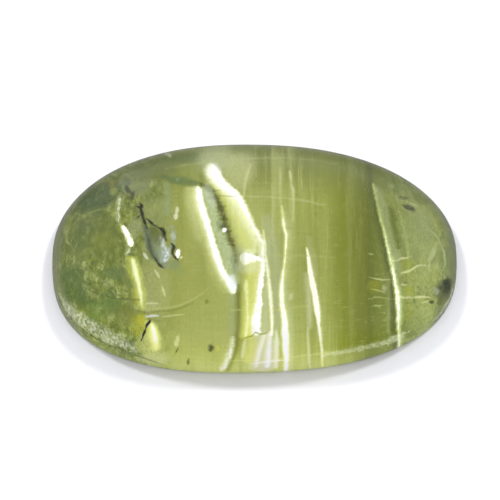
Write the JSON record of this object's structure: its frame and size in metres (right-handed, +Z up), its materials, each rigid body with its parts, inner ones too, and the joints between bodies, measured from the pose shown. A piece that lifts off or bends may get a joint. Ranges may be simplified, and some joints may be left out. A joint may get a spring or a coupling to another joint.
{
  "type": "oval cut opal",
  "caption": "Oval cabochon of translucent yellow-green opal: flat polished base, low upright wall, smooth dome with silky bands and dark inclusions.",
  "frame": {"origin": "middle of the flat base", "axes": "+X along the stone towards its slimmer end, +Y across it, +Z up through the crown of the dome"},
  "size_m": [0.015, 0.0088, 0.0048],
  "materials": {
    "opal": "polished"
  },
  "bodies": {
    "root": {"cut_opal": "opal"}
  },
  "joints": []
}
